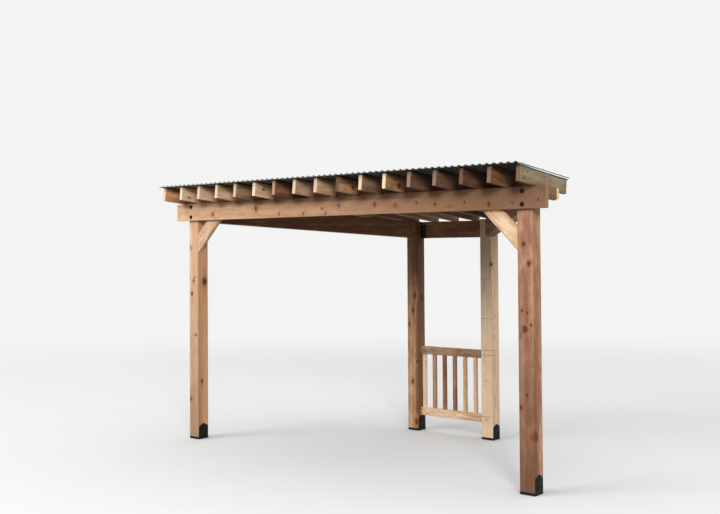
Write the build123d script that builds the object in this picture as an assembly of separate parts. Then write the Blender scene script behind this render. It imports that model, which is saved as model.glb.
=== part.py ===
from build123d import *
import math
import os

# A lean-to timber pergola, trapezoid in plan: two wide-set posts in front, two close-set
# posts behind, doubled front beam, raking side beams, seventeen rafters and a corrugated roof.
# Millimetres. X runs along the front beam, the front faces -Y, Z is up and zero on the ground.

# Dressed lumber sizes
board = 38.1
wide_4 = 88.9
wide_6 = 139.7
wide_8 = 184.15
eased = 3.0

# Posts
post = 139.7
front_spacing = 4120.0
rear_spacing = 980.0
setback = 1865.0

# Front beam and roof fall
beam_tail = 156.15
headroom = 2362.0
fall = 0.10

# Rafters
rafter_count = 17
rafter_inset = 83.75
front_overhang = 380.0
rear_overhang = 125.0
wing_overhang = 345.0

# Knee braces
brace_reach = 345.0
brace_lap = 90.0

# Side beams
side_beam_thickness = 88.9

# Railing between the rear posts
rail_top_height = 946.0
rail_low_height = 172.0
baluster = 38.1
baluster_gap = 97.0

# Post bases, folded from steel plate
plate = 3.0
standoff = 25.0
ear_shoulder = 138.0
ear_peak = 171.0
ear_width = 127.0

# Rear beam hangers
strap = 1.6
hanger_flange = 26.0
hanger_depth = 58.0
hanger_height = 150.0

# Corrugated roofing
wave_pitch = 67.7
wave_depth = 12.7
sheet = 1.0
sheet_waves = 14
lap_waves = 1
lap_clearance = 0.2
sheet_front = 35.0
sheet_side = 14.0
sheet_rear = 50.0
sheet_wing = 55.0

# Places worked out from the sizes above
beam_length = front_spacing + post + 2 * beam_tail
rafter_pitch = (beam_length - 2 * rafter_inset - board) / (rafter_count - 1)
rail_length = rear_spacing - post
baluster_count = int(rail_length // (baluster + baluster_gap))
roof_side = beam_length / 2 - rafter_inset + sheet_side
sheet_cover = sheet_waves * wave_pitch
sheet_count = math.ceil(2 * roof_side / sheet_cover)
beam_top = headroom + wide_8
depth = sheet_front + front_overhang + setback + rear_overhang + sheet_rear
front_y = sheet_front + front_overhang - depth / 2
rear_y = front_y + setback
front_x = front_spacing / 2
rear_x = rear_spacing / 2
front_face = front_y - post / 2
ledger_face = front_y + post / 2
rear_face = rear_y + post / 2
rafter_front = front_y - front_overhang
rafter_rear = rear_y + rear_overhang
tilt = math.atan(fall)
along = Vector(0, math.cos(tilt), -math.sin(tilt))
square = Vector(0, math.sin(tilt), math.cos(tilt))
run = front_x - rear_x
side_length = math.hypot(run, setback)
side_turn = math.degrees(math.atan2(run, setback))
ledger_top = beam_top - fall * (ledger_face - (front_face - board))


def underside(y):
    """Height of the rafters' lower edge at depth y."""
    return beam_top - fall * (y - (front_face - board))


def dressed(width, height):
    """The cross-section of a piece of dressed lumber, its corners eased."""
    return chamfer(Rectangle(width, height).vertices(), length=eased)


def bar(width, height, length):
    """A straight piece of dressed lumber that runs from zero along +Y, centred on its axis."""
    return extrude(Plane.XZ * dressed(width, height), amount=length, dir=(0, 1, 0))


def wing_end(x, overhang):
    """Depth of the line that runs beside a side beam, overhang past its centre line."""
    reach = abs(x) - rear_x
    return rear_y + (overhang * side_length - reach * setback) / run


def under_roof(drop):
    """The space from drop below the rafters up to their lower edges, over the whole plan."""
    front = front_face - board - front_overhang
    rear = rear_face + rear_overhang
    edge = [(front, underside(front)), (rear, underside(rear))]
    low = [(rear, underside(rear) - drop), (front, underside(front) - drop)]
    profile = make_face(Plane.YZ * Polyline(*edge, *low, close=True))
    return extrude(profile, amount=beam_length / 2, both=True)


def make_post(x, y):
    """A post from its base up to the rafters, its top cut to the roof's fall."""
    stick = extrude(dressed(post, post), amount=beam_top)
    stick = Pos(x, y, standoff) * stick
    return stick & under_roof(beam_top)


def make_base(x, y):
    """A stand-off post base: raised seat, front and rear skirts, and two pointed ears."""
    seat = Pos(0, 0, standoff - plate / 2) * Box(post, post, plate)
    skirt_height = standoff - plate
    skirt = Pos(0, 0, skirt_height / 2) * Box(post, plate, skirt_height)
    half = ear_width / 2
    outline = Polyline((-half, 0), (half, 0), (half, ear_shoulder), (0, ear_peak), (-half, ear_shoulder), close=True)
    ear = extrude(make_face(Plane.YZ * outline), amount=plate, dir=(1, 0, 0))
    inset = post / 2 - plate / 2
    base = seat + Pos(0, -inset, 0) * skirt + Pos(0, inset, 0) * skirt
    base += Pos(post / 2, 0, 0) * ear
    base += Pos(-post / 2 - plate, 0, 0) * ear
    return Pos(x, y, 0) * base


def make_front_beam():
    """The wide board bolted to the front faces of the front posts."""
    place = Pos(beam_length / 2, front_face - board / 2, headroom + wide_8 / 2)
    return place * Rot(0, 0, 90) * bar(board, wide_8, beam_length)


def make_ledger():
    """The narrower board on the rear faces of the front posts, level under the rafters."""
    place = Pos(beam_length / 2, ledger_face + board / 2, ledger_top - wide_4 / 2)
    return place * Rot(0, 0, 90) * bar(board, wide_4, beam_length)


def make_end_block(side):
    """The block that closes the open end between the front beam and the ledger."""
    place = Pos(side * (beam_length - board) / 2, front_face, ledger_top - wide_4 / 2)
    return place * bar(board, wide_4, post)


def make_side_beam(side):
    """A raking beam from the ledger to the near corner of a rear post, its top cut to the fall."""
    stick = Box(side_beam_thickness, side_length, 2 * wide_8 + setback * fall)
    middle = Pos(side * (front_x + rear_x) / 2, front_y + setback / 2, underside(front_y + setback / 2))
    stick = middle * Rot(0, 0, side * side_turn) * stick
    stick &= under_roof(wide_8 / math.cos(tilt))
    ledger_rear = ledger_face + board
    stick -= Pos(side * front_x, ledger_rear - setback / 2, beam_top) * Box(front_spacing, setback, beam_top)
    stick -= Pos(side * rear_x, rear_y, beam_top) * Box(post, post, beam_top)
    return stick.solids().sort_by(SortBy.VOLUME)[-1]


def make_rear_beam():
    """The short beam between the rear posts, flush with their rear faces, level under the rafters."""
    length = rear_spacing - post - 2 * strap
    place = Pos(length / 2, rear_face - board / 2, rear_beam_top() - wide_8 / 2)
    return place * Rot(0, 0, 90) * bar(board, wide_8, length)


def rear_beam_top():
    """Level of the rear beam's top: the rafters' lower edge at its front face."""
    return underside(rear_face - board)


def make_hanger(side):
    """A folded steel hanger: stirrup round the rear beam's end and a flange on the post."""
    seat_z = rear_beam_top() - wide_8
    beam_front = rear_face - board
    cheek = Box(hanger_depth, strap, hanger_height + strap, align=(Align.MIN, Align.MAX, Align.MIN))
    floor = Box(hanger_depth, board, strap, align=(Align.MIN, Align.MIN, Align.MAX))
    flange = Box(strap, hanger_flange, hanger_height + strap, align=(Align.MIN, Align.MAX, Align.MIN))
    back = Box(strap, board, hanger_height, align=(Align.MIN, Align.MIN, Align.MIN))
    piece = Pos(0, 0, -strap) * cheek + floor
    piece += Pos(0, -strap, -strap) * flange
    piece += back
    if side < 0:
        return Pos(-rear_x + post / 2, beam_front, seat_z) * piece
    return Pos(rear_x - post / 2, beam_front, seat_z) * mirror(piece, about=Plane.YZ)


def make_brace(side):
    """A knee brace at half a right angle: plumb cut on the post, level cut behind the beam."""
    inner = brace_reach - wide_6 * math.sqrt(2)
    rise = brace_lap
    outline = Polyline(
        (0, -brace_reach), (0, -inner), (inner + rise, rise), (brace_reach + rise, rise), close=True
    )
    blank = extrude(make_face(Plane.XZ * outline), amount=board, dir=(0, 1, 0))
    place = Pos(-front_x + post / 2, front_face, headroom)
    if side < 0:
        return place * blank
    return Pos(front_x - post / 2, front_face, headroom) * mirror(blank, about=Plane.YZ)


def make_rafter(x):
    """A square-cut rafter laid to the fall, with level seats over the beams that it crosses."""
    end = min(rafter_rear, wing_end(x, wing_overhang))
    length = (end - rafter_front) / math.cos(tilt)
    lay = Pos(x, rafter_front, underside(rafter_front)) * Rot(-math.degrees(tilt), 0, 0)
    rafter = lay * Pos(0, 0, wide_6 / 2) * bar(board, wide_6, length)
    seats = [(front_face - board, beam_top), (ledger_face, ledger_top)]
    if end > rear_face:
        seats.append((rear_face - board, rear_beam_top()))
    for y, top in seats:
        rafter -= Pos(x, y + board / 2, top - wide_4 / 2) * Box(2 * board, board, wide_4)
    return rafter


def make_railing():
    """Two rails on edge and the balusters between them."""
    lay = Pos(rail_length / 2, rear_y, 0) * Rot(0, 0, 90)
    rail = lay * bar(board, wide_4, rail_length)
    top_rail = Pos(0, 0, rail_top_height - wide_4 / 2) * rail
    low_rail = Pos(0, 0, rail_low_height + wide_4 / 2) * rail
    low = rail_low_height + wide_4
    tall = rail_top_height - wide_4 - low
    stick = extrude(dressed(baluster, baluster), amount=tall)
    sticks = []
    for number in range(baluster_count):
        x = rail_length / 2 - baluster_gap - baluster / 2 - number * (baluster + baluster_gap)
        sticks.append(Pos(x, rear_y, low) * stick)
    return top_rail, low_rail, Compound(children=sticks)


def wave_line(waves):
    """The corrugation's edge: arcs over and under in turn, centred on zero."""
    half = wave_pitch / 2
    arcs = []
    for number in range(2 * waves):
        x = -waves * half + number * half
        crest = wave_depth / 2 if number % 2 else -wave_depth / 2
        arcs.append(ThreePointArc((x, 0), (x + half / 2, crest), (x + half, 0)))
    return arcs


def roof_outline(front, side, rear, wing):
    """Plan outline of the roofing: straight front and sides, raking wings, straight rear."""
    corner_y = wing_end(side, wing)
    corner_x = rear_x + (wing * side_length - (rear - rear_y) * run) / setback
    right = [(side, front), (side, corner_y), (corner_x, rear)]
    left = [(-x, y) for x, y in reversed(right)]
    return right + left


def make_sheet(number):
    """A corrugated sheet laid down the fall and trimmed to the roof's plan."""
    waves = sheet_waves + lap_waves
    upper = Wire(wave_line(waves))
    lower = Pos(0, -sheet) * upper
    ends = [Line(upper @ 0, lower @ 0), Line(upper @ 1, lower @ 1)]
    profile = make_face([*upper.edges(), *lower.edges(), *ends])
    over = number % 2 * (sheet + lap_clearance)
    lift = wide_6 + wave_depth / 2 + sheet + over
    across = (number - (sheet_count - 1) / 2) * sheet_cover
    rear = rafter_rear + sheet_rear + lift
    origin = Vector(across, rear, underside(rear)) + square * lift
    length = (depth + 2 * lift) / math.cos(tilt)
    lay = Plane(origin=origin, x_dir=(1, 0, 0), z_dir=-along)
    blank = extrude(lay * profile, amount=length, dir=-along)
    rear_edge = rafter_rear + sheet_rear
    outline = roof_outline(rafter_front - sheet_front, roof_side, rear_edge, wing_overhang + sheet_wing)
    plan = extrude(make_face(Polyline(*outline, close=True)), amount=2 * beam_top)
    return blank & plan


parts = {}
for side, hand in ((-1, "left"), (1, "right")):
    parts[f"post_front_{hand}"] = make_post(side * front_x, front_y)
    parts[f"post_rear_{hand}"] = make_post(side * rear_x, rear_y)
    parts[f"post_base_front_{hand}"] = make_base(side * front_x, front_y)
    parts[f"post_base_rear_{hand}"] = make_base(side * rear_x, rear_y)
    parts[f"beam_end_block_{hand}"] = make_end_block(side)
    parts[f"side_beam_{hand}"] = make_side_beam(side)
    parts[f"knee_brace_{hand}"] = make_brace(side)
    parts[f"rear_beam_hanger_{hand}"] = make_hanger(side)
parts["front_beam"] = make_front_beam()
parts["front_ledger"] = make_ledger()
parts["rear_beam"] = make_rear_beam()
parts["rail_top"], parts["rail_low"], parts["balusters"] = make_railing()
for number in range(rafter_count):
    x = (number - (rafter_count - 1) / 2) * rafter_pitch
    parts[f"rafter_{number + 1:02d}"] = make_rafter(x)
for number in range(sheet_count):
    parts[f"roof_sheet_{number + 1}"] = make_sheet(number)

os.makedirs("parts", exist_ok=True)
for name, shape in parts.items():
    export_step(shape, f"parts/{name}.step")
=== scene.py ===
import bmesh
import bpy
import math
import random
from mathutils import Euler, Matrix, Vector


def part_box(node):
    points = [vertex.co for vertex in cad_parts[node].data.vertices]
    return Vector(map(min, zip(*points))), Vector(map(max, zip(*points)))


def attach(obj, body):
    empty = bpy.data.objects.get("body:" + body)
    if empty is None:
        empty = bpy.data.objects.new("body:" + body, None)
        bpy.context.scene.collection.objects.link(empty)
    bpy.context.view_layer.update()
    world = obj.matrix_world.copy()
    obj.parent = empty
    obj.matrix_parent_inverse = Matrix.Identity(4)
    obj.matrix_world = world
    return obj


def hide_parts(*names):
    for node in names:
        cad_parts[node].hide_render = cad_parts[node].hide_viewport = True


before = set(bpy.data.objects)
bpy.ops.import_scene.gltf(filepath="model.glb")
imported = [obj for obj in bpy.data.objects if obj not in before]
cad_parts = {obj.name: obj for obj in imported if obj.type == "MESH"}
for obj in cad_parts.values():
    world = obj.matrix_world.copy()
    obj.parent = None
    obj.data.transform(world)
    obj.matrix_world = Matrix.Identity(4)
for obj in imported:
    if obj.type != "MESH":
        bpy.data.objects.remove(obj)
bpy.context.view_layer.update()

# A dressed timber pergola: four posts on black steel bases, a bolted front beam, raking side
# beams, seventeen rafters, a dark corrugated roof and a short railing. Metres, Z up, front to -Y.

# Rounding of long edges, chamfer round sawn ends, and the roof's fall
eased = 0.003
arris = 0.0008
roof_fall = 0.10
tilt = math.atan(roof_fall)
quarter = math.radians(90)
hands = ((-1, "left"), (1, "right"))

# Places read from the frame
beam_low, beam_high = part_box("front_beam")
ledger_low, ledger_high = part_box("front_ledger")
rear_low, rear_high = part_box("rear_beam")
post_low, post_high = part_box("post_front_right")
beam_front = beam_low.y
beam_top = beam_high.z
board = beam_high.y - beam_low.y
wide_8 = beam_high.z - beam_low.z
wide_4 = ledger_high.z - ledger_low.z
post = post_high.x - post_low.x
wide_6 = post
front_x = (post_low.x + post_high.x) / 2
front_y = (post_low.y + post_high.y) / 2
rear_x = sum(corner.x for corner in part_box("post_rear_right")) / 2
rear_y = sum(corner.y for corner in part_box("post_rear_right")) / 2


def underside(y):
    """Height of the rafters' lower edge at depth y."""
    return beam_top - roof_fall * (y - beam_front)


# Shader maths

class Value:
    """A number or colour that varies over a surface; sums written with it become Math nodes."""

    def __init__(self, finish, socket):
        self.finish = finish
        self.socket = socket

    def maths(self, operation, first, second=0.0):
        return self.finish.add("ShaderNodeMath", {0: first, 1: second}, operation=operation)

    def __add__(self, other):
        return self.maths("ADD", self, other)

    def __radd__(self, other):
        return self.maths("ADD", other, self)

    def __sub__(self, other):
        return self.maths("SUBTRACT", self, other)

    def __mul__(self, other):
        return self.maths("MULTIPLY", self, other)

    def __truediv__(self, other):
        return self.maths("DIVIDE", self, other)

    def __pow__(self, other):
        return self.maths("POWER", self, other)

    def size(self):
        return self.maths("ABSOLUTE", self)

    def fraction(self):
        return self.maths("FRACT", self)

    def above(self, limit):
        return self.maths("GREATER_THAN", self, limit)

    def most(self, other):
        return self.maths("MAXIMUM", self, other)

    def least(self, other):
        return self.maths("MINIMUM", self, other)

    def length(self):
        kind = "ShaderNodeVectorMath"
        return self.finish.add(kind, {0: self}, result="Value", operation="LENGTH")

    def rise(self, start, end):
        """Nought up to start, one past end, smooth between; it falls where end is below start."""
        sockets = {"Value": self, "From Min": start, "From Max": end}
        return self.finish.add("ShaderNodeMapRange", sockets, interpolation_type="SMOOTHSTEP")

    def split(self):
        """The three parts of a vector or colour."""
        node = self.finish.add("ShaderNodeSeparateXYZ", {0: self}, result=None)
        return [Value(self.finish, socket) for socket in node.outputs]


# Sockets of the Mix node that carry colours
FACTOR, FIRST, SECOND, MIXED = 0, 6, 7, 2


class Finish:
    """A material, or the studio round it, while its nodes are put together."""

    def __init__(self, name, kept_in=bpy.data.materials):
        self.material = kept_in.new(name)
        self.material.use_nodes = True
        self.tree = self.material.node_tree
        self.tree.nodes.clear()

    def add(self, kind, sockets=None, result=0, **settings):
        """Adds a node and gives back one of its outputs, or the node where result is None."""
        node = self.tree.nodes.new(kind)
        for name, setting in settings.items():
            setattr(node, name, setting)
        for key, value in (sockets or {}).items():
            if isinstance(value, Value):
                self.tree.links.new(value.socket, node.inputs[key])
            else:
                node.inputs[key].default_value = value
        return node if result is None else Value(self, node.outputs[result])

    def here(self):
        """The place on the object, in metres."""
        return self.add("ShaderNodeTexCoord", result="Object")

    def within(self, place, centre, turn=(0.0, 0.0, 0.0), spread=(1.0, 1.0, 1.0)):
        """The place in a frame of its own: zero at the centre, and one where the spread ends."""
        sockets = {"Vector": place, "Location": centre, "Rotation": turn, "Scale": spread}
        return self.add("ShaderNodeMapping", sockets, vector_type="TEXTURE")

    def scaled(self, place, scale, shift):
        sockets = {"Vector": place, "Scale": scale, "Location": (shift, shift, shift)}
        return self.add("ShaderNodeMapping", sockets)

    def vectors(self, operation, *parts):
        """Vector Math on places or colours."""
        return self.add("ShaderNodeVectorMath", dict(enumerate(parts)), operation=operation)

    def ruffled(self, place, scale, amount):
        """The place pushed about a little, so that round things come out uneven."""
        push = self.vectors("SUBTRACT", self.noise(place, scale, result=1), (0.5, 0.5, 0.5))
        return self.vectors("MULTIPLY_ADD", push, (amount, amount, amount), place)

    def join(self, x, y, z):
        return self.add("ShaderNodeCombineXYZ", {0: x, 1: y, 2: z})

    def noise(self, place, scale=1.0, detail=2.0, roughness=0.5, result=0):
        sockets = {"Vector": place, "Scale": scale, "Detail": detail, "Roughness": roughness}
        return self.add("ShaderNodeTexNoise", sockets, result=result)

    def mix(self, factor, first, second):
        sockets = {FACTOR: factor, FIRST: first, SECOND: second}
        return self.add("ShaderNodeMix", sockets, result=MIXED, data_type="RGBA")

    def blend(self, factor, first, second):
        """Mixes two shaders."""
        return self.add("ShaderNodeMixShader", {0: factor, 1: first, 2: second})

    def bump(self, height, distance, strength):
        sockets = {"Height": height, "Distance": distance, "Strength": strength}
        return self.add("ShaderNodeBump", sockets)

    def show(self, shader):
        self.add("ShaderNodeOutputMaterial", {"Surface": shader}, result=None)
        return self.material

    def close(self, **sockets):
        """Ends the material in a Principled shader; _ stands for a space in a socket's name."""
        named = {name.replace("_", " "): value for name, value in sockets.items()}
        return self.show(self.add("ShaderNodeBsdfPrincipled", named))


def tone(red, green, blue):
    """A screen colour, 0 to 255, as the linear colour that a shader takes."""
    def linear(part):
        part = part / 255
        return part / 12.92 if part <= 0.04045 else ((part + 0.055) / 1.055) ** 2.4
    return (linear(red), linear(green), linear(blue), 1.0)


# Wood. Each look is the light wood, the dark wood, the heart and the sawn end of one board. The
# peach and chestnut hearts also paint shade on the right faces of the front left and rear left
# posts.
looks = {
    "peach": (tone(242, 208, 174), tone(203, 159, 121), tone(198, 148, 108), tone(248, 218, 184)),
    "cream": (tone(244, 216, 182), tone(208, 166, 124), tone(224, 180, 144), tone(250, 228, 198)),
    "honey": (tone(224, 176, 130), tone(178, 122, 80), tone(190, 124, 84), tone(244, 212, 172)),
    "straw": (tone(216, 180, 132), tone(172, 130, 86), tone(178, 128, 84), tone(244, 218, 178)),
    "tan": (tone(205, 169, 135), tone(156, 117, 86), tone(174, 118, 88), tone(240, 210, 174)),
    "rose": (tone(195, 151, 120), tone(141, 100, 75), tone(154, 103, 81), tone(234, 200, 170)),
    "russet": (tone(178, 128, 96), tone(122, 80, 56), tone(134, 82, 60), tone(228, 190, 156)),
    "umber": (tone(190, 146, 108), tone(134, 92, 64), tone(120, 76, 50), tone(226, 188, 156)),
    "chestnut": (tone(191, 151, 112), tone(138, 100, 70), tone(74, 50, 33), tone(226, 188, 156)),
    "bone": (tone(247, 221, 188), tone(221, 185, 149), tone(226, 180, 144), tone(250, 226, 194)),
    "dusk": (tone(190, 174, 142), tone(150, 132, 100), tone(158, 138, 106), tone(178, 152, 120)),
}
knot_heart = tone(88, 46, 22)
knot_rim = tone(50, 26, 12)
late_wood = tone(140, 84, 52)
resin = tone(122, 62, 38)
graphite = tone(66, 58, 52)
palest = 0.93
deepest_painted_shade = 0.3
end_skin = 0.0006
pencil_line = (0.0034, 0.0016)
gloss = 0.22

# Rings: their pitch, how far they waver, how far the pith strays from its line and how quickly,
# and how soft the edge of the heart is
ring_pitch = 0.0045
ring_waver = 1.4
pith_wander = 0.06
wander_scale = 0.7
heart_edge = 0.006

# Knots: the cell that may hold one by chance and how often it does, the largest such knot and the
# least, how deep a known knot goes in its own radii, how far tails are drawn out, how uneven
# outlines are, and how far the rings bend round a knot
knot_cell = (0.42, 0.15, 0.15)
cell_chance = 0.5
chance_knot = 0.028
least_knot = 0.0001
knot_depth = 2.0
known_tail = 6
chance_tail = (0.2, 1.0, 1.0)
ruffle_scale = 42.0
ruffle = 0.03
ring_bend = 0.8

# Where the parts of a knot begin and are full, in radii from its middle
knot_body = (1.25, 0.55)
knot_core = (0.2, 0.95)
knot_halo = (2.4, 0.9)
knot_tail = (1.2, 0.4)
chance_swirl = (4.0, 0.6)
known_swirl = (3.0, 0.6)

# Noises in the wood: scale along the grain and both ways across, own shift, detail, roughness
streaks = ((1.3, 34.0, 34.0), 0.0, 4.0, 0.6)
broad_streaks = ((0.55, 13.0, 13.0), 8.1, 3.0, 0.6)
fibres = ((14.0, 520.0, 520.0), 0.0, 3.0, 0.5)
checks = ((2.6, 190.0, 190.0), 5.3, 2.0, 0.5)
patches = ((3.2, 9.0, 9.0), 3.7, 4.0, 0.6)
mottles = ((9.0, 26.0, 26.0), 6.9, 3.0, 0.6)
band_scale = 38.0

# From where in its noise, or in a ring, each layer begins, to where it is full
band_step = (0.36, 0.64)
streak_step = (0.36, 0.66)
fibre_step = (0.52, 0.72)
split_step = (0.73, 0.77)
late_start = (0.4, 0.88)
late_stop = (1.0, 0.93)

# How strongly each layer shows in the colour
band_share = 0.4
broad_share = 0.5
streak_share = 0.3
patch_share = 1.9
mottle_share = 2.0
heart_share = 0.8
late_share = 0.38
fibre_share = 0.2
split_share = 0.5
tail_share = 0.3
halo_share = 0.6
knot_share = 0.92
pencil_share = 0.75


def shaded(colour, shade):
    """A colour dimmed or raised with its hue kept, and never past the palest wood."""
    shade = min(shade, palest / max(colour[:3]))
    return tuple(part * shade for part in colour[:3]) + (1.0,)


def knot_frame(stick, point, reach, stretch):
    """A knot's centre in its stick's frame, and its reach along the grain and across it."""
    size, centre, turn = stick
    middle = Euler(turn).to_matrix().inverted() @ (Vector(point) - Vector(centre))
    sideways = abs(middle.z) / size[2] > abs(middle.y) / size[1]
    deep = (reach, knot_depth * reach)
    return middle, (stretch * reach, deep[not sideways], deep[sideways])


def find_knots(finish, stick, place, seed, knots):
    """How near a knot is, in its radii, the same drawn out along the grain, and its swirl."""
    uneven = finish.ruffled(place, ruffle_scale, ruffle)
    cell = finish.scaled(uneven, tuple(1 / side for side in knot_cell), seed)
    spots = {"Vector": cell, "Scale": 1.0, "Randomness": 0.9}
    spot = finish.add("ShaderNodeTexVoronoi", spots, result="Position")
    spot_chance = finish.add("ShaderNodeTexVoronoi", spots, result="Color").split()[0]
    away = finish.vectors("MULTIPLY", finish.vectors("SUBTRACT", cell, spot), knot_cell)
    size = (spot_chance - (1 - cell_chance)).most(0.0) * (chance_knot / cell_chance) + least_knot
    nearness = away.length() / size
    tail = finish.vectors("MULTIPLY", away, chance_tail).length() / size
    swirl = nearness.rise(*chance_swirl) * size
    for point, reach, stretch in knots:
        middle, spread = knot_frame(stick, point, reach, stretch)
        drawn_out = (known_tail * spread[0], spread[1], spread[2])
        own = finish.within(uneven, middle, spread=spread).length()
        nearness = nearness.least(own)
        tail = tail.least(finish.within(uneven, middle, spread=drawn_out).length())
        swirl = swirl + own.rise(*known_swirl) * reach
    return nearness, tail, swirl


def wood(name, stick, board_cut, seed, knots, marks, painted_shade):
    """Solid timber cut from a log: rings round a wandering pith, knots, fibres and sawn ends."""
    size, centre, turn = stick
    look, pith, heart, shade, end_shade = board_cut
    light, dark, heart_and_painted_shade = [shaded(colour, shade) for colour in looks[look][:3]]
    sawn = shaded(looks[look][3], end_shade)
    finish = Finish(name)
    place = finish.within(finish.here(), centre, turn)
    x, y, z = place.split()
    nearness, tail, swirl = find_knots(finish, stick, place, seed, knots)
    knot = nearness.rise(*knot_body)

    # Rings, streaks and fibres along the grain
    def drawn(scale, shift, detail, roughness):
        return finish.noise(finish.scaled(place, scale, seed + shift), 1.0, detail, roughness)

    wander = finish.noise(finish.join(x * wander_scale, seed, 0.0), result=1).split()
    across = y - pith[0] + (wander[0] - 0.5) * pith_wander
    up = z - pith[1] + (wander[1] - 0.5) * pith_wander
    radius = (across * across + up * up) ** 0.5 + swirl * ring_bend
    streak = drawn(*streaks)
    broad = drawn(*broad_streaks)
    fibre = drawn(*fibres)
    patch = drawn(*patches)
    mottle = drawn(*mottles)
    split = drawn(*checks).rise(*split_step)
    ring = (radius / ring_pitch + streak * ring_waver).fraction()
    late = ring.rise(*late_start) * ring.rise(*late_stop)
    band = finish.noise(finish.join(radius * band_scale + seed, x * 0.3, 0.0), detail=3.0)

    # Light and dark wood; the heart, which on two posts is set at a face to paint shade on it; and
    # painted shade, darker toward one end of a board's front and toward its upper edge under the
    # roof
    depth = band.rise(*band_step) * band_share + broad.rise(*band_step) * broad_share
    depth = depth + streak.rise(*streak_step) * streak_share
    depth = depth + (patch - 0.5) * patch_share + (mottle - 0.5) * mottle_share
    colour = finish.mix(depth, light, dark)
    inside = radius.rise(heart + heart_edge, heart - heart_edge)
    colour = finish.mix(inside * heart_share, colour, heart_and_painted_shade)
    # Painted shade: the front darkens along the board as light falls off, and the upper edge
    # darkens as painted shadow of the roof
    lengthwise, upward = painted_shade
    if lengthwise or upward:
        run = x * (math.copysign(1.0, lengthwise) / size[0]) + 0.5
        painted_roof_shadow = z.rise(size[2] / 8, size[2] / 2) * upward
        if lengthwise:
            painted_roof_shadow = painted_roof_shadow * run.rise(0.0, 0.3)
        run = run * y.rise(size[1] / 4, -size[1] / 2) * abs(lengthwise)
        colour = finish.mix(run + painted_roof_shadow, colour, shaded(dark, deepest_painted_shade))

    # Late wood, fibres, checks, knots with their tails and halos, pencil lines and sawn ends
    colour = finish.mix(late * late_share, colour, late_wood)
    colour = finish.mix(fibre.rise(*fibre_step) * fibre_share, colour, late_wood)
    colour = finish.mix(split * split_share, colour, knot_rim)
    colour = finish.mix(tail.rise(*knot_tail) * tail_share, colour, resin)
    colour = finish.mix(nearness.rise(*knot_halo) * halo_share, colour, late_wood)
    knot_tone = finish.mix(nearness.rise(*knot_core), knot_heart, knot_rim)
    colour = finish.mix(knot * knot_share, colour, knot_tone)
    for mark in marks:
        line = (x - mark).size().rise(*pencil_line) * patch.rise(0.34, 0.5)
        line = line * y.rise(0.0, -size[1] / 2)
        colour = finish.mix(line * pencil_share, colour, graphite)
    end = x.size().above(size[0] / 2 - end_skin)
    end_tone = finish.mix(late * 0.35 + band * 0.2, sawn, late_wood)
    colour = finish.mix(end, colour, end_tone)

    height = late * 0.4 + fibre * 0.7 + streak * 0.6 + knot * 0.6 - split * 2.0
    relief = finish.bump(height, 0.0012, 0.6)
    rough = 0.56 + streak * 0.14 - knot * 0.14 + end * 0.12
    return finish.close(
        Base_Color=colour, Roughness=rough, Normal=relief, Specular_IOR_Level=gloss
    )


def coated_steel():
    """Black powder coat: fine orange peel and a little dust low down."""
    finish = Finish("black_powder_coat")
    place = finish.here()
    height = place.split()[2]
    peel = finish.noise(place, 620.0, 2.0)
    smear = finish.noise(place, 22.0, 4.0, 0.6)
    dust = smear.rise(0.45, 0.75) * height.rise(0.09, 0.0) * 0.12
    colour = finish.mix(dust, tone(6, 12, 12), tone(112, 106, 96))
    rough = 0.5 + smear * 0.2 + dust * 0.8
    relief = finish.bump(peel, 0.0003, 0.5)
    return finish.close(Base_Color=colour, Roughness=rough, Normal=relief, Specular_IOR_Level=0.2)


def plated_steel():
    """Zinc-plated screws, grey and a little cloudy."""
    finish = Finish("zinc_plate")
    cloud = finish.noise(finish.here(), 180.0, 3.0)
    colour = finish.mix(cloud, tone(120, 118, 112), tone(170, 168, 160))
    return finish.close(Base_Color=colour, Roughness=0.35 + cloud * 0.25, Metallic=1.0)


def dark_screw():
    """Bronze-coated wood screws."""
    finish = Finish("bronze_screw")
    cloud = finish.noise(finish.here(), 240.0, 2.0)
    colour = finish.mix(cloud, tone(62, 46, 34), tone(92, 70, 50))
    return finish.close(Base_Color=colour, Roughness=0.42 + cloud * 0.2)


# Modelling
smooth_angle = math.radians(30)


def choose(*pieces):
    """Selects just these pieces, the first of them active."""
    bpy.ops.object.select_all(action="DESELECT")
    for piece in pieces:
        piece.select_set(True)
    bpy.context.view_layer.objects.active = pieces[0]


def edit(piece, kind):
    choose(piece)
    bpy.ops.object.mode_set(mode="EDIT")
    bpy.ops.mesh.select_mode(type=kind)
    bpy.ops.mesh.select_all(action="DESELECT")


def pick(piece, rule):
    """Adds the edges that the rule accepts to what is selected in edit mode."""
    mesh = bmesh.from_edit_mesh(piece.data)
    for edge in mesh.edges:
        if rule(edge):
            edge.select_set(True)
    bmesh.update_edit_mesh(piece.data)


def along_x(edge):
    first, second = [vert.co for vert in edge.verts]
    return abs(first.x - second.x) > 2 * eased and abs(first.y - second.y) < arris


def settle(piece, centre, turn):
    """Turns a piece and moves it into place, and leaves the place in its mesh."""
    piece.location = centre
    piece.rotation_euler = turn
    choose(piece)
    bpy.ops.object.transform_apply(location=True, rotation=True, scale=True)


def new_stick(name, stick):
    """A dressed stick along X with eased long edges and crisp ends, turned into its place."""
    size, centre, turn = stick
    bpy.ops.object.select_all(action="DESELECT")
    bpy.ops.mesh.primitive_cube_add(size=1.0)
    piece = bpy.context.object
    piece.name = name
    piece.data.name = name
    piece.scale = size
    bpy.ops.object.transform_apply(location=False, rotation=False, scale=True)
    edit(piece, "EDGE")
    pick(piece, along_x)
    bpy.ops.mesh.bevel(offset=eased, segments=3, affect="EDGES")
    bpy.ops.mesh.select_all(action="DESELECT")
    pick(piece, lambda edge: min(abs(vert.co.x) for vert in edge.verts) > size[0] / 2 - arris)
    bpy.ops.mesh.bevel(offset=arris, segments=1, affect="EDGES")
    bpy.ops.object.mode_set(mode="OBJECT")
    settle(piece, centre, turn)
    return piece


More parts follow.
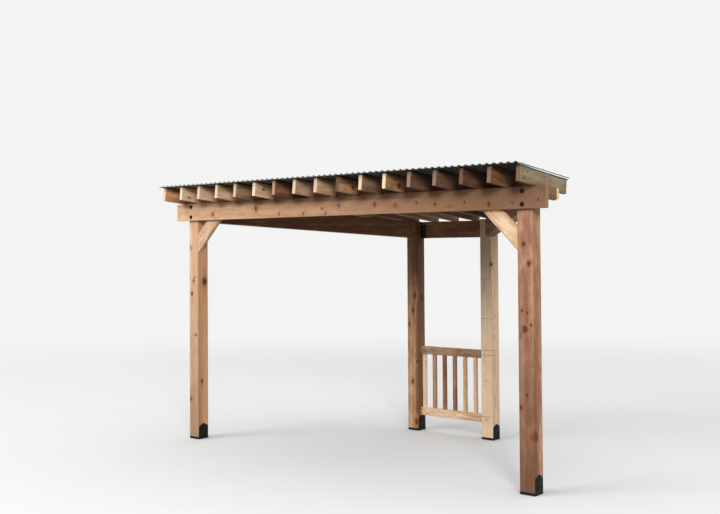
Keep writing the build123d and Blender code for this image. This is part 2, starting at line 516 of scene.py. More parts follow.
def saw(piece, point, normal):
    """Cuts off what lies past a plane, where its normal points, and closes the cut."""
    edit(piece, "FACE")
    bpy.ops.mesh.select_all(action="SELECT")
    bpy.ops.mesh.bisect(plane_co=point, plane_no=normal, use_fill=True, clear_outer=True)
    bpy.ops.object.mode_set(mode="OBJECT")


def notch(piece, cutter):
    """Takes the cutter's shape out of the piece."""
    choose(piece)
    cut = piece.modifiers.new("notch", "BOOLEAN")
    cut.operation = "DIFFERENCE"
    cut.solver = "FAST"
    cut.object = cutter
    bpy.ops.object.modifier_apply(modifier=cut.name)


def block(low, high):
    """A plain block to cut with, between two corners."""
    middle = (Vector(low) + Vector(high)) / 2
    bpy.ops.object.select_all(action="DESELECT")
    bpy.ops.mesh.primitive_cube_add(size=1.0, location=middle)
    piece = bpy.context.object
    piece.scale = Vector(high) - Vector(low)
    bpy.ops.object.transform_apply(location=True, rotation=True, scale=True)
    return piece


def ease(piece):
    """Rounds the sharp long edges that raking cuts leave on a beam."""
    longest = max(edge_length(piece.data, edge) for edge in piece.data.edges)
    edit(piece, "EDGE")
    pick(piece, lambda edge: edge.calc_length() > longest / 2 and edge.calc_face_angle(0.0) > 1.0)
    bpy.ops.mesh.bevel(offset=eased, segments=3, affect="EDGES")
    bpy.ops.object.mode_set(mode="OBJECT")


def edge_length(mesh, edge):
    first, second = edge.vertices
    return (mesh.vertices[first].co - mesh.vertices[second].co).length


def merged(pieces):
    """Joins pieces into the first of them."""
    choose(*pieces)
    if len(pieces) > 1:
        bpy.ops.object.join()
    return bpy.context.object


def drop(*pieces):
    for piece in pieces:
        bpy.data.objects.remove(piece)


def hand_over(piece, slot, materials, *nodes):
    """Smooths, dresses and attaches a finished piece, and hides the nodes it stands for."""
    for material in materials:
        piece.data.materials.append(material)
    choose(piece)
    bpy.ops.object.shade_smooth_by_angle(angle=smooth_angle)
    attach(piece, "root")
    if nodes:
        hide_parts(*nodes)


def stick_of(node, along):
    """Size, middle and turn of a square-set node whose length runs along X, Y or Z."""
    low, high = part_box(node)
    size = high - low
    middle = (low + high) / 2
    if along == "Z":
        return (size.z, size.y, size.x), middle, (0.0, quarter, 0.0)
    if along == "Y":
        return (size.y, size.x, size.z), middle, (0.0, 0.0, quarter)
    return tuple(size), middle, (0.0, 0.0, 0.0)


# How each board was sawn: its look, where the pith lies across it, how far the heart reaches, and
# the shade of its faces and of its sawn ends beside others of its look. These shades are partly
# the boards' own tones and partly painted light and shade, raised or lowered as light or shade
# falls on each board; on the front left and rear left posts the pith and heart sit at the right
# face to paint shade on it
boards = {
    "post_front_left": ("peach", (0.0, 0.085), 0.075, 1.3, 1.0),
    "post_front_right": ("rose", (-0.015, 0.02), 0.05, 1.15, 1.0),
    "post_rear_left": ("chestnut", (0.0, 0.075), 0.075, 1.4, 1.0),
    "post_rear_right": ("bone", (-0.01, -0.02), 0.03, 1.35, 1.0),
    "front_beam": ("tan", (0.05, 0.16), 0.085, 2.2, 0.35),
    "front_ledger": ("honey", (0.04, 0.01), 0.02, 1.0, 1.0),
    "beam_end_block_left": ("honey", (0.04, 0.0), 0.02, 1.0, 1.0),
    "beam_end_block_right": ("honey", (0.04, 0.0), 0.02, 0.4, 0.6),
    "side_beam_left": ("umber", (0.02, -0.05), 0.03, 0.8, 1.0),
    "side_beam_right": ("umber", (-0.02, 0.04), 0.03, 0.8, 1.0),
    "rear_beam": ("umber", (0.05, 0.02), 0.03, 0.8, 1.0),
    "knee_brace_left": ("peach", (0.05, 0.02), 0.02, 1.0, 1.0),
    "knee_brace_right": ("cream", (0.05, -0.06), 0.02, 1.0, 1.0),
    "rail_top": ("tan", (0.04, 0.0), 0.02, 0.8, 1.0),
    "rail_low": ("cream", (0.04, 0.01), 0.02, 1.0, 1.0),
}
baluster_boards = [
    ("bone", (0.03, 0.03), 0.01, 1.1, 1.0), ("tan", (0.03, 0.02), 0.01, 0.8, 1.0),
    ("russet", (0.03, -0.02), 0.03, 0.9, 1.0), ("rose", (0.04, -0.01), 0.03, 0.75, 1.0),
    ("cream", (0.03, 0.02), 0.01, 1.0, 1.0), ("bone", (0.03, 0.03), 0.01, 1.0, 1.0),
]
# The rafters' shades, lowest on the right-hand rafters and their sawn ends, are partly painted
# shade
rafter_boards = [
    ("honey", (0.06, 0.02), 0.05, 1.2, 1.05), ("cream", (0.05, -0.02), 0.02, 1.4, 1.05),
    ("peach", (0.05, 0.03), 0.02, 1.2, 0.9), ("peach", (0.06, -0.04), 0.03, 1.1, 1.15),
    ("tan", (0.05, 0.0), 0.05, 0.75, 0.85), ("cream", (0.06, 0.05), 0.02, 1.2, 1.1),
    ("russet", (0.05, 0.06), 0.08, 0.8, 0.6), ("peach", (0.05, -0.05), 0.04, 0.75, 0.9),
    ("cream", (0.06, 0.0), 0.02, 0.85, 0.75), ("umber", (0.02, 0.12), 0.12, 1.2, 0.12),
    ("tan", (0.05, 0.04), 0.05, 0.55, 1.0), ("straw", (0.06, 0.01), 0.02, 0.8, 1.15),
    ("rose", (0.05, 0.03), 0.07, 0.35, 0.33), ("tan", (0.05, -0.03), 0.06, 0.38, 0.24),
    ("russet", (0.05, 0.02), 0.06, 0.38, 0.13), ("umber", (0.05, -0.02), 0.07, 0.7, 0.24),
    ("dusk", (0.07, 0.02), 0.02, 0.65, 0.32),
]

# Knots that a board is known by: the face that they show on, their place along that face from the
# middle of the pergola, their height above the floor, their radius, and how far they are drawn out
# along the grain
known_knots = {
    "front_beam": [
        ("front", -1.71, 2.42, 0.019, 0.5), ("front", -1.06, 2.46, 0.027, 0.5),
        ("front", -0.73, 2.4, 0.015, 0.5), ("front", -0.4, 2.395, 0.014, 0.5),
        ("front", -0.11, 2.385, 0.014, 0.5), ("front", 0.06, 2.455, 0.018, 0.5),
        ("front", 0.5, 2.45, 0.022, 0.5), ("front", 0.74, 2.435, 0.019, 0.5),
        ("front", 0.98, 2.45, 0.016, 0.5), ("front", 1.18, 2.43, 0.02, 0.5),
        ("front", 1.34, 2.405, 0.015, 0.5), ("front", 1.49, 2.435, 0.016, 0.5),
        ("front", 1.74, 2.41, 0.027, 0.5), ("front", 1.97, 2.415, 0.016, 0.5),
        ("front", 2.21, 2.43, 0.019, 0.5),
    ],
    "post_front_left": [
        ("front", -2.06, 1.71, 0.012, 1.2), ("front", -2.09, 1.57, 0.015, 1.2),
        ("front", -2.03, 1.12, 0.01, 1.2), ("right", -0.79, 1.7, 0.03, 1.2),
        ("right", -0.83, 0.62, 0.014, 1.2),
    ],
    "post_front_right": [
        ("front", 2.05, 2.07, 0.02, 1.2), ("front", 2.095, 1.91, 0.022, 1.2),
        ("front", 2.03, 1.52, 0.01, 1.2), ("front", 2.075, 1.505, 0.01, 1.2),
        ("front", 2.055, 1.365, 0.027, 1.2), ("front", 2.11, 1.4, 0.012, 1.2),
        ("front", 2.07, 0.82, 0.012, 1.2), ("right", -0.853, 0.485, 0.034, 1.5),
    ],
    "post_rear_left": [
        ("front", -0.46, 1.51, 0.02, 1.8), ("front", -0.48, 1.35, 0.016, 1.8),
        ("front", -0.53, 1.19, 0.012, 1.8), ("right", 1.06, 1.485, 0.028, 1.8),
        ("front", -0.43, 0.77, 0.014, 1.8), ("front", -0.49, 0.545, 0.014, 1.8),
        ("front", -0.445, 0.1, 0.022, 1.8),
    ],
    "post_rear_right": [("front", 0.555, 1.87, 0.012, 1.3)],
    "rafter_02": [("right", -1.09, 2.6, 0.011, 1.2)],
    "rafter_06": [("right", -1.065, 2.64, 0.011, 1.2)],
    "rafter_17": [
        ("right", -1.07, 2.65, 0.01, 0.6), ("right", -1.13, 2.6, 0.012, 0.6),
        ("right", -0.79, 2.625, 0.01, 0.6),
    ],
}

# Heights of the pencil lines that were drawn across a post
pencil_marks = {"post_rear_right": (1.711, 1.29, 0.953, 0.90, 0.246)}

# Painted shade: how far a board's front darkens from its left end or its top to the other end, or
# the other way where negative, as light falling off along it, and how far its upper edge darkens,
# as painted shadow under the roof
painted_shades = {
    "front_beam": (1.18, 0.9), "post_front_left": (0.75, 0.0), "post_front_right": (0.9, 0.0),
    "post_rear_left": (-0.6, 0.0), "post_rear_right": (0.15, 0.0), "rafter_17": (0.0, 0.0),
}
# Rafters get painted shadow toward their upper edges; other boards get no painted shade
rafter_painted_shade = (0.0, 0.55)
no_painted_shade = (0.0, 0.0)
draws = random.Random(11)


def dress(node, stick, board_cut):
    """The finish of a board, with the knots and pencil marks that it is known by."""
    knots = []
    for face, along, level, reach, stretch in known_knots.get(node, ()):
        low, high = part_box(node)
        point = (along, low.y, level) if face == "front" else (high.x, along, level)
        knots.append((point, reach, stretch))
    marks = [stick[1].z - level for level in pencil_marks.get(node, ())]
    seed = round(draws.uniform(1, 60), 2)
    painted_shade = painted_shades.get(node, rafter_painted_shade if node.startswith("rafter_") else no_painted_shade)
    return wood(f"wood_{node}", stick, board_cut, seed, knots, marks, painted_shade)


def timber(node, stick, slot, *cutters, planes=(), board_cut=None):
    """Saws one board of the frame: the stick, its notches and its raking cuts, then its finish."""
    piece = new_stick(f"{node}_wood", stick)
    for point, normal in planes:
        saw(piece, point, normal)
    for cutter in cutters:
        notch(piece, cutter)
    hand_over(piece, slot, [dress(node, stick, board_cut or boards[node])], node)
    return piece


fall_normal = (0.0, math.sin(tilt), math.cos(tilt))
roof_point = (0.0, beam_front, beam_top)

# Posts, their tops sawn to the fall
for hand in ("left", "right"):
    for row in ("front", "rear"):
        node = f"post_{row}_{hand}"
        timber(node, stick_of(node, "Z"), "post_wood", planes=[(roof_point, fall_normal)])

# Front beam, ledger and the blocks between them
timber("front_beam", stick_of("front_beam", "X"), "beam_wood")
timber("front_ledger", stick_of("front_ledger", "X"), "beam_wood")
timber("rear_beam", stick_of("rear_beam", "X"), "beam_wood")
for hand in ("left", "right"):
    node = f"beam_end_block_{hand}"
    timber(node, stick_of(node, "Y"), "beam_wood")

# Side beams: raking sticks trimmed to the ledger, the rear post and the fall above and below
side_run = front_x - rear_x
side_length = math.hypot(side_run, rear_y - front_y)
side_turn = math.atan2(side_run, rear_y - front_y)
side_thickness = wide_4
side_depth = wide_8 / math.cos(tilt) ** 2
for side, hand in hands:
    node = f"side_beam_{hand}"
    middle = Vector((side * (front_x + rear_x) / 2, (front_y + rear_y) / 2, 0.0))
    middle.z = underside(middle.y)
    turn = (0.0, 0.0, side * side_turn + quarter)
    stick = (side_length, side_thickness, 2 * wide_8 + 2 * side_depth), middle, turn
    lower_point = (0.0, beam_front, beam_top - side_depth)
    planes = [
        (roof_point, fall_normal),
        (lower_point, tuple(-part for part in fall_normal)),
        ((0.0, ledger_high.y, 0.0), (0.0, -1.0, 0.0)),
    ]
    low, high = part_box(f"post_rear_{hand}")
    rear_post = block(low, high + Vector((0.0, 0.0, 1.0)))
    ease(timber(node, stick, "beam_wood", rear_post, planes=planes))
    drop(rear_post)

# Knee braces: half a right angle, cut plumb on the post and level behind the beam
for side, hand in hands:
    node = f"knee_brace_{hand}"
    low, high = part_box(node)
    middle = (low + high) / 2 + Vector((0.0, 0.0, wide_6 / math.sqrt(2)))
    length = 2 * (high.z - low.z)
    turn = (0.0, side * math.radians(45), 0.0)
    stick = (length, board, wide_6), middle, turn
    planes = [
        ((low.x, 0.0, 0.0), (-1.0, 0.0, 0.0)),
        ((high.x, 0.0, 0.0), (1.0, 0.0, 0.0)),
        ((0.0, 0.0, high.z), (0.0, 0.0, 1.0)),
    ]
    timber(node, stick, "brace_wood", planes=planes)

# Rafters, seated level on each beam that they cross. The seats are cut with blocks as wide and
# high as the beams, a little longer and deeper at the foot.
beam_seat, ledger_seat, rear_seat = [
    block(low - Vector((past, 0.0, 0.1)), high + Vector((past, 0.0, 0.0)))
    for low, high, past in (
        (beam_low, beam_high, 0.1), (ledger_low, ledger_high, 0.1), (rear_low, rear_high, 0.3)
    )
]
rafter_nodes = sorted(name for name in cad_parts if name.startswith("rafter_"))
rafter_lays = {}


def on_rear_beam(node):
    """Whether a rafter is long enough to cross the rear beam."""
    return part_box(node)[1].y > rear_high.y + board


for node, board_cut in zip(rafter_nodes, rafter_boards):
    low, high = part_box(node)
    rise = wide_6 * math.sin(tilt)
    length = (high.y - low.y - rise) / math.cos(tilt)
    start = Vector(((low.x + high.x) / 2, low.y, underside(low.y)))
    run = Vector((0.0, math.cos(tilt), -math.sin(tilt)))
    middle = start + run * length / 2 + Vector(fall_normal) * wide_6 / 2
    turn = Matrix((run, Vector((-1.0, 0.0, 0.0)), Vector(fall_normal))).transposed().to_euler()
    rafter_lays[node] = (start, run, length)
    stick = (length, board, wide_6), middle, tuple(turn)
    cutters = [beam_seat, ledger_seat] + ([rear_seat] if on_rear_beam(node) else [])
    timber(node, stick, "rafter_wood", *cutters, board_cut=board_cut)
drop(beam_seat, ledger_seat, rear_seat)

# Railing
timber("rail_top", stick_of("rail_top", "X"), "rail_wood")
timber("rail_low", stick_of("rail_low", "X"), "rail_wood")
low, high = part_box("balusters")
thick = high.y - low.y
pitch = (high.x - low.x - thick) / (len(baluster_boards) - 1)
sticks = []
for number, board_cut in enumerate(baluster_boards):
    middle = (low + high) / 2
    middle.x = low.x + thick / 2 + number * pitch
    stick = (high.z - low.z, thick, thick), middle, (0.0, quarter, 0.0)
    baluster = new_stick("baluster", stick)
    baluster.data.materials.append(dress(f"baluster_{number + 1}", stick, board_cut))
    sticks.append(baluster)
balusters = merged(sticks)
balusters.name = "balusters_wood"
balusters.data.name = balusters.name
hand_over(balusters, "rail_wood", [], "balusters")

# Steel bases and hangers: the folded shapes with their edges rounded
steel = coated_steel()
base_rounding = 0.0009
hanger_rounding = 0.0005


def soften(node, name, width):
    """A copy of a folded steel node, its flats merged and its edges rounded."""
    choose(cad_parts[node])
    bpy.ops.object.duplicate(linked=False)
    piece = bpy.context.object
    for key in list(piece.keys()):
        del piece[key]
    piece.parent = None
    piece.name = name
    piece.data.name = name
    piece.data.materials.clear()
    edit(piece, "FACE")
    bpy.ops.mesh.select_all(action="SELECT")
    bpy.ops.mesh.remove_doubles(threshold=0.00001)
    bpy.ops.mesh.dissolve_limited(angle_limit=math.radians(1))
    bpy.ops.object.mode_set(mode="OBJECT")
    choose(piece)
    rounding = piece.modifiers.new("rounding", "BEVEL")
    rounding.width = width
    rounding.segments = 2
    rounding.limit_method = "ANGLE"
    rounding.angle_limit = math.radians(40)
    bpy.ops.object.modifier_apply(modifier=rounding.name)
    return piece


for hand in ("left", "right"):
    for row in ("front", "rear"):
        node = f"post_base_{row}_{hand}"
        hand_over(soften(node, f"{node}_steel", base_rounding), "black_steel", [steel], node)
    node = f"rear_beam_hanger_{hand}"
    hand_over(soften(node, f"{node}_steel", hanger_rounding), "black_steel", [steel], node)

# Corrugated roofing
wave_pitch = 0.0677
wave_depth = 0.0127
sheet = 0.001
sheet_waves = 14
lap_waves = 1
lap_clearance = 0.0002
sheet_width = (sheet_waves + lap_waves) * wave_pitch
wave_steps = 12
length_steps = 6
sheet_nodes = sorted(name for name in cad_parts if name.startswith("roof_sheet_"))
roof_low = Vector([min(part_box(node)[0][axis] for node in sheet_nodes) for axis in range(3)])
roof_high = Vector([max(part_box(node)[1][axis] for node in sheet_nodes) for axis in range(3)])
outer_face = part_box(rafter_nodes[-1])[1].x
edge_droop = 0.014
edge_trim = 0.0001

# Painted glints on the roofing, pale strips where light comes through the sheet and catches its
# edges, from where each begins to where it is full: behind the front edge, and inside the side
# edges
front_glint_strip = (0.028, 0.022)
side_glint_strip = (0.008, 0.005)


def roofing(name, seed):
    """Dark smoked sheet: glossy and dusty, with painted glints, pale where light comes through
    past the rafters and along its side edges.
    """
    finish = Finish(name)
    place = finish.here()
    x, y = place.split()[:2]
    phase = (x / wave_pitch + 0.25).fraction() - 0.5
    flank = (phase.size() - 0.25).size().rise(0.17, 0.1)
    far = x.rise(roof_high.x, roof_low.x) * 0.65 + 0.45
    # Painted glints: the flanks behind the front edge, stronger toward the left, and strips inside
    # the side edges, toward the rear
    front_painted_glint = y.rise(*[roof_low.y + depth for depth in front_glint_strip]) * flank * far
    side_painted_glint = x.size().rise(*[roof_high.x - depth for depth in side_glint_strip])
    painted_glint = front_painted_glint.most(side_painted_glint * y.rise(roof_low.y, front_y))
    run_marks = finish.noise(finish.scaled(place, (60.0, 2.0, 2.0), seed), detail=4.0)
    cloud = finish.noise(finish.scaled(place, (3.0, 2.0, 3.0), seed), detail=5.0, roughness=0.6)
    speck = finish.noise(place, 150.0, 2.0).rise(0.68, 0.8)
    film = cloud.rise(0.4, 0.8) * 0.4 + run_marks.rise(0.5, 0.8) * 0.25
    colour = finish.mix(film, tone(28, 36, 34), tone(66, 74, 68))
    colour = finish.mix(speck * 0.4, colour, tone(120, 112, 92))
    colour = finish.mix(painted_glint, colour, tone(216, 232, 226))
    rough = 0.34 + film * 0.5 + speck * 0.2
    return finish.close(Base_Color=colour, Roughness=rough, Normal=finish.bump(cloud, 0.002, 0.2))


def roofing_edge():
    """The cut edge of the sheet, painted pale as a painted glow where the light that the sheet
    gathers comes out.
    """
    finish = Finish("roofing_cut_edge_painted_glow")
    cloud = finish.noise(finish.here(), 60.0, 3.0)
    colour = finish.mix(cloud, tone(206, 222, 214), tone(168, 190, 180))
    return finish.close(Base_Color=colour, Roughness=0.3 + cloud * 0.2)


edge_painted_glow = roofing_edge()


def wave_height(x):
    """Height of the corrugation at x: arcs over and under in turn, as the rolled sheet has."""
    half = wave_pitch / 2
    cell = math.floor(x / half)
    run = x - cell * half - half / 2
    radius = (half * half / 4 + wave_depth * wave_depth / 4) / wave_depth
    rise = math.sqrt(radius * radius - run * run) - (radius - wave_depth / 2)
    return rise if cell % 2 else -rise


def sheet_lay(number):
    """Where a sheet's middle lies across the roof, and how far a lap lifts it."""
    across = (number - (len(sheet_nodes) - 1) / 2) * sheet_waves * wave_pitch
    return across, number % 2 * (sheet + lap_clearance)


def make_sheet(number, node):
    """A corrugated sheet laid down the fall and trimmed to the roof's plan."""
    across, over = sheet_lay(number)
    columns = (sheet_waves + lap_waves) * wave_steps
    lift = wide_6 + wave_depth / 2 + sheet / 2 + over
    depth = roof_high.y - roof_low.y + 4 * wide_6
    bpy.ops.object.select_all(action="DESELECT")
    bpy.ops.mesh.primitive_grid_add(
        x_subdivisions=columns, y_subdivisions=length_steps, size=1.0
    )
    piece = bpy.context.object
    piece.name = f"{node}_ribbed"
    piece.data.name = piece.name
    piece.scale = (sheet_width, depth, 1.0)
    bpy.ops.object.transform_apply(location=False, rotation=False, scale=True)
    for vert in piece.data.vertices:
        vert.co.z = wave_height(vert.co.x + sheet_width / 2 + arris * 0.01)
    middle_y = (roof_low.y + roof_high.y) / 2
    middle = Vector((across, middle_y, underside(middle_y))) + Vector(fall_normal) * lift
    settle(piece, middle, (-tilt, 0.0, 0.0))
    edit(piece, "FACE")
    for point, normal in roof_cuts():
        bpy.ops.mesh.select_all(action="SELECT")
        bpy.ops.mesh.bisect(plane_co=point, plane_no=normal, clear_outer=True)
    bpy.ops.object.mode_set(mode="OBJECT")
    choose(piece)
    for vert in piece.data.vertices:
        past = max(0.0, abs(vert.co.x) - outer_face)
        vert.co.z -= edge_droop * (past / (roof_high.x - outer_face)) ** 1.5
    wall = piece.modifiers.new("wall", "SOLIDIFY")
    wall.thickness = sheet
    wall.offset = 0.0
    wall.use_even_offset = True
    wall.material_offset_rim = 1
    bpy.ops.object.modifier_apply(modifier=wall.name)
    hand_over(piece, "roofing", [roofing(f"{node}_smoked", 3.1 * number), edge_painted_glow], node)


def roof_cuts():
    """Planes that trim a sheet: front, rear, both sides and both raking wings."""
    slant = Vector((math.cos(side_turn), math.sin(side_turn), 0.0))
    cuts = [
        ((0.0, roof_low.y + edge_trim, 0.0), (0.0, -1.0, 0.0)),
        ((0.0, roof_high.y - edge_trim, 0.0), (0.0, 1.0, 0.0)),
        ((roof_low.x, 0.0, 0.0), (-1.0, 0.0, 0.0)),
        ((roof_high.x, 0.0, 0.0), (1.0, 0.0, 0.0)),
    ]
    wing = wing_point()
    for side in (-1, 1):
        cuts.append(((side * wing.x, wing.y, 0.0), (side * slant.x, slant.y, 0.0)))
    return cuts


def wing_point():
    """A point on the roof's raking edge: the outermost sheet's rear corner, on its inner side."""
    corners = [vert.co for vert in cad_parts[sheet_nodes[-1]].data.vertices]
    return Vector((min(corner.x for corner in corners), max(corner.y for corner in corners), 0.0))


for number, node in enumerate(sheet_nodes):
    make_sheet(number, node)

# Fasteners
zinc = plated_steel()
bronze = dark_screw()


def turned_blank(name, parts):
    """A fastener along +Z from zero: each part's sides, radius, height and round-over."""
    blanks = []
    level = 0.0
    for sides, radius, height, soft in parts:
        bpy.ops.object.select_all(action="DESELECT")
        middle = (0.0, 0.0, level + height / 2)
        bpy.ops.mesh.primitive_cylinder_add(
            vertices=sides, radius=radius, depth=height, location=middle
        )
        blank = bpy.context.object
        top = height / 2
        edit(blank, "EDGE")
        pick(blank, lambda edge: min(vert.co.z for vert in edge.verts) > top * 0.9)
        bpy.ops.mesh.bevel(offset=soft, segments=1 if sides <= 8 else 2, affect="EDGES")
        bpy.ops.object.mode_set(mode="OBJECT")
        settle(blank, middle, (0.0, 0.0, 0.0))
        blanks.append(blank)
        level += height
    blank = merged(blanks)
    blank.name = name
    return blank


def drive(name, model, places, slot, material):
    """Copies a fastener to each place, a point and the way it faces, and joins the copies."""
    copies = []
    for point, facing in places:
        choose(model)
        bpy.ops.object.duplicate(linked=False)
        copy = bpy.context.object
        turn = Vector(facing).to_track_quat("Z", "Y").to_euler()
        settle(copy, Vector(point), turn)
        copies.append(copy)
    piece = merged(copies)
    piece.name = name
    piece.data.name = name
    hand_over(piece, slot, [material])
    drop(model)


bolt_levels = [beam_low.z + rise for rise in (0.038, 0.147)]
bolt_head = turned_blank("bolt_head", [(24, 0.0205, 0.003, 0.0008), (6, 0.0135, 0.011, 0.0015)])
bolt_places = [
    ((side * front_x, beam_front, level), (0, -1, 0)) for side in (-1, 1) for level in bolt_levels
]
drive("front_bolts", bolt_head, bolt_places, "black_steel", steel)

nut = turned_blank(
    "nut", [(24, 0.0175, 0.003, 0.0008), (6, 0.0125, 0.010, 0.0012), (12, 0.006, 0.009, 0.001)]
)
nut_places = []
for side in (-1, 1):
    nut_places.append(((side * front_x, front_y + post / 2, bolt_levels[0]), (0, 1, 0)))
    nut_places.append(((side * front_x, ledger_high.y, bolt_levels[1]), (0, 1, 0)))
drive("rear_nuts", nut, nut_places, "black_steel", steel)

# Screws in the ears of the bases: their places along an ear and above the floor
base_screw = turned_blank("base_screw", [(12, 0.010, 0.0015, 0.0004), (6, 0.0065, 0.005, 0.0008)])
ear_holes = ((-0.03, 0.055), (0.03, 0.055), (0.0, 0.125))
base_places = []
for hand in ("left", "right"):
    for row in ("front", "rear"):
        low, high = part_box(f"post_base_{row}_{hand}")
        middle = (low.y + high.y) / 2
        for offset, level in ear_holes:
            base_places.append(((low.x, middle + offset, level), (-1, 0, 0)))
            base_places.append(((high.x, middle + offset, level), (1, 0, 0)))
drive("base_screws", base_screw, base_places, "black_steel", steel)

# Wood screws: heads that toe the rafters to the beams, and fix blocks and rails
wood_screw = turned_blank("wood_screw", [(8, 0.0048, 0.0012, 0.0005)])
toe_height = 0.024
screw_inset = 0.022
rail_end_inset = 0.018
screw_places = []
for node in rafter_nodes:
    low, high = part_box(node)
    beams = [beam_low.y + board / 2, (ledger_low.y + ledger_high.y) / 2]
    if on_rear_beam(node):
        beams.append((rear_low.y + rear_high.y) / 2)
    for y in beams:
        level = underside(y) + toe_height
        screw_places.append(((low.x, y, level), (-1, 0, 0)))
        screw_places.append(((high.x, y, level), (1, 0, 0)))
for rail in ("rail_top", "rail_low"):
    low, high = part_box(rail)
    for x in (low.x + rail_end_inset, high.x - rail_end_inset):
        for level in (low.z + screw_inset, high.z - screw_inset):
            screw_places.append(((x, low.y, level), (0, -1, 0)))
            screw_places.append(((x, high.y, level), (0, 1, 0)))
for side in (-1, 1):
    low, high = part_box("beam_end_block_right")
    for level in (low.z + screw_inset, high.z - screw_inset):
        screw_places.append(((side * (high.x - board / 2), ledger_high.y, level), (0, 1, 0)))
drive("wood_screws", wood_screw, screw_places, "black_steel", bronze)

# Hanger nails, in two columns of three on the strap's face
nail = turned_blank("nail", [(8, 0.0042, 0.0012, 0.0005)])
strap = 0.0016
face = rear_low.y - strap
nail_places = []
for side, hand in hands:
    low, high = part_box(f"rear_beam_hanger_{hand}")
    for level in (0.03, 0.07, 0.11):
        for offset in (0.018, 0.042):
            x = (low.x + offset) if side < 0 else (high.x - offset)
            nail_places.append(((x, face, low.z + level), (0, -1, 0)))
drive("hanger_nails", nail, nail_places, "black_steel", zinc)

# Roof screws: on the crest nearest each rafter, in rows down the fall
roof_screw = turned_blank("roof_screw", [(12, 0.009, 0.0016, 0.0005), (6, 0.0055, 0.0042, 0.0008)])
roof_places = []
row_pitch = 0.46
row_inset = 0.07


def top_crest(x):
    """The crest nearest a rafter on the upper sheet there, and how far a lap lifts that sheet."""
    crests = []
    for number in range(len(sheet_nodes)):
        across, over = sheet_lay(number)
        edge = across - sheet_width / 2
        if edge < x < edge + sheet_width:
            crest = (math.floor((x - edge) / wave_pitch) + 0.75) * wave_pitch
            crests.append((over, edge + crest))
    over, crest = max(crests)
    return crest, over


for node in rafter_nodes:
    start, run, length = rafter_lays[node]
    crest_x, over = top_crest(start.x)
    rows = max(2, round(length / row_pitch) + 1)
    for row in range(rows):
        down = row_inset + (length - 2 * row_inset) * row / (rows - 1)
        top = Vector(fall_normal) * (wide_6 + wave_depth + sheet + over)
        point = start + run * down + top
        roof_places.append(((crest_x, point.y, point.z), fall_normal))
drive("roof_screws", roof_screw, roof_places, "black_steel", zinc)


# Floor, light and camera. The floor fades into the backdrop between two distances, and the
# world is brighter overhead than at the horizon.
backdrop = (0.90, 0.90, 0.895, 1.0)
floor_tones = ((0.585, 0.58, 0.575, 1.0), (0.605, 0.60, 0.595, 1.0))
floor_bounce = (0.165, 0.165, 0.165, 1.0)
floor_side = 120.0
fade_start = 6.0
fade_end = 15.0
white = (1.0, 1.0, 1.0, 1.0)
overhead_light = 1.6
level_light = 0.15

# Where each lamp stands, its power, width and colour, and the point that both look at
lamps = {
    "key": ((-12.0, -21.0, 15.0), 4000.0, 16.0, (0.95, 0.98, 1.0)),
    "side": ((14.5, -14.5, 8.2), 2600.0, 5.0, (0.96, 0.985, 1.0)),
}
lamp_aim = Vector((0.0, 0.0, 1.2))

# The photograph's frame, its focal length and the height in it that the lens axis meets, in
# pixels; then the camera's place, its turns and how far it sees, in metres and radians
image_width = 720
image_height = 514
focal_length = 1008.6
axis_height = 226.8
camera_place = Vector((6.3342, -8.1919, 2.0232))
turn_left = 0.6909
look_up = 0.0238
lean = -0.0066
far_sight = 200.0


def direct_view(finish):
    """One for rays that show the background to the eye, straight, mirrored or through glass."""
    ray = finish.add("ShaderNodeLightPath", result=None)
    straight, mirrored, through = [
        Value(finish, ray.outputs[name])
        for name in ("Is Camera Ray", "Is Glossy Ray", "Is Transmission Ray")
    ]
    return straight.most(mirrored).most(through)


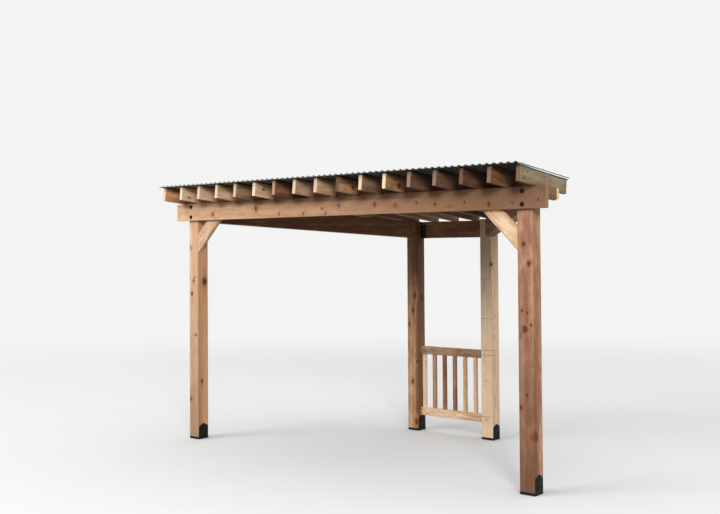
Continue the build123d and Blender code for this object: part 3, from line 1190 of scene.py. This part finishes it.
def pale_floor():
    """A pale floor that runs into the backdrop, and is duller in the light it throws back up."""
    finish = Finish("pale_floor")
    place = finish.here()
    cloud = finish.noise(place, 1.3, 3.0)
    near = finish.add("ShaderNodeBsdfDiffuse", {"Color": finish.mix(cloud, *floor_tones)})
    far = finish.add("ShaderNodeEmission", {"Color": backdrop})
    seen = finish.blend(place.length().rise(fade_start, fade_end), near, far)
    bounced = finish.add("ShaderNodeBsdfDiffuse", {"Color": floor_bounce})
    return finish.show(finish.blend(direct_view(finish), bounced, seen))


def make_floor():
    bpy.ops.object.select_all(action="DESELECT")
    bpy.ops.mesh.primitive_grid_add(x_subdivisions=4, y_subdivisions=4, size=floor_side)
    floor = bpy.context.object
    floor.name = "floor"
    floor.data.materials.append(pale_floor())


def make_world():
    """A pale backdrop to the eye; as light, brighter overhead than at the horizon."""
    finish = Finish("studio", bpy.data.worlds)
    bpy.context.scene.world = finish.material
    seen = finish.add("ShaderNodeBackground", {"Color": backdrop})
    height = finish.add("ShaderNodeTexCoord", result="Generated").split()[2]
    strength = height.most(0.0) * (overhead_light - level_light) + level_light
    light = finish.add("ShaderNodeBackground", {"Color": white, "Strength": strength})
    studio = finish.blend(direct_view(finish), light, seen)
    finish.add("ShaderNodeOutputWorld", {"Surface": studio}, result=None)


def make_lamp(name, place, power, width, colour):
    data = bpy.data.lights.new(name, "AREA")
    data.energy = power
    data.shape = "DISK"
    data.size = width
    data.color = colour
    lamp = bpy.data.objects.new(name, data)
    bpy.context.scene.collection.objects.link(lamp)
    lamp.location = place
    lamp.rotation_euler = (Vector(place) - lamp_aim).to_track_quat("Z", "Y").to_euler()


def make_camera():
    data = bpy.data.cameras.new("camera")
    data.sensor_width = 36.0
    data.lens = data.sensor_width * focal_length / image_width
    data.shift_y = (axis_height - image_height / 2) / image_width
    data.clip_end = far_sight
    camera = bpy.data.objects.new("camera", data)
    bpy.context.scene.collection.objects.link(camera)
    camera.location = camera_place
    stand = Euler((quarter + look_up, 0.0, turn_left), "XYZ").to_matrix()
    camera.rotation_euler = (stand @ Matrix.Rotation(lean, 3, "Z")).to_euler()
    bpy.context.scene.camera = camera


make_floor()
make_world()
for name, setting in lamps.items():
    make_lamp(name, *setting)
make_camera()
bpy.context.scene.view_settings.view_transform = "Standard"
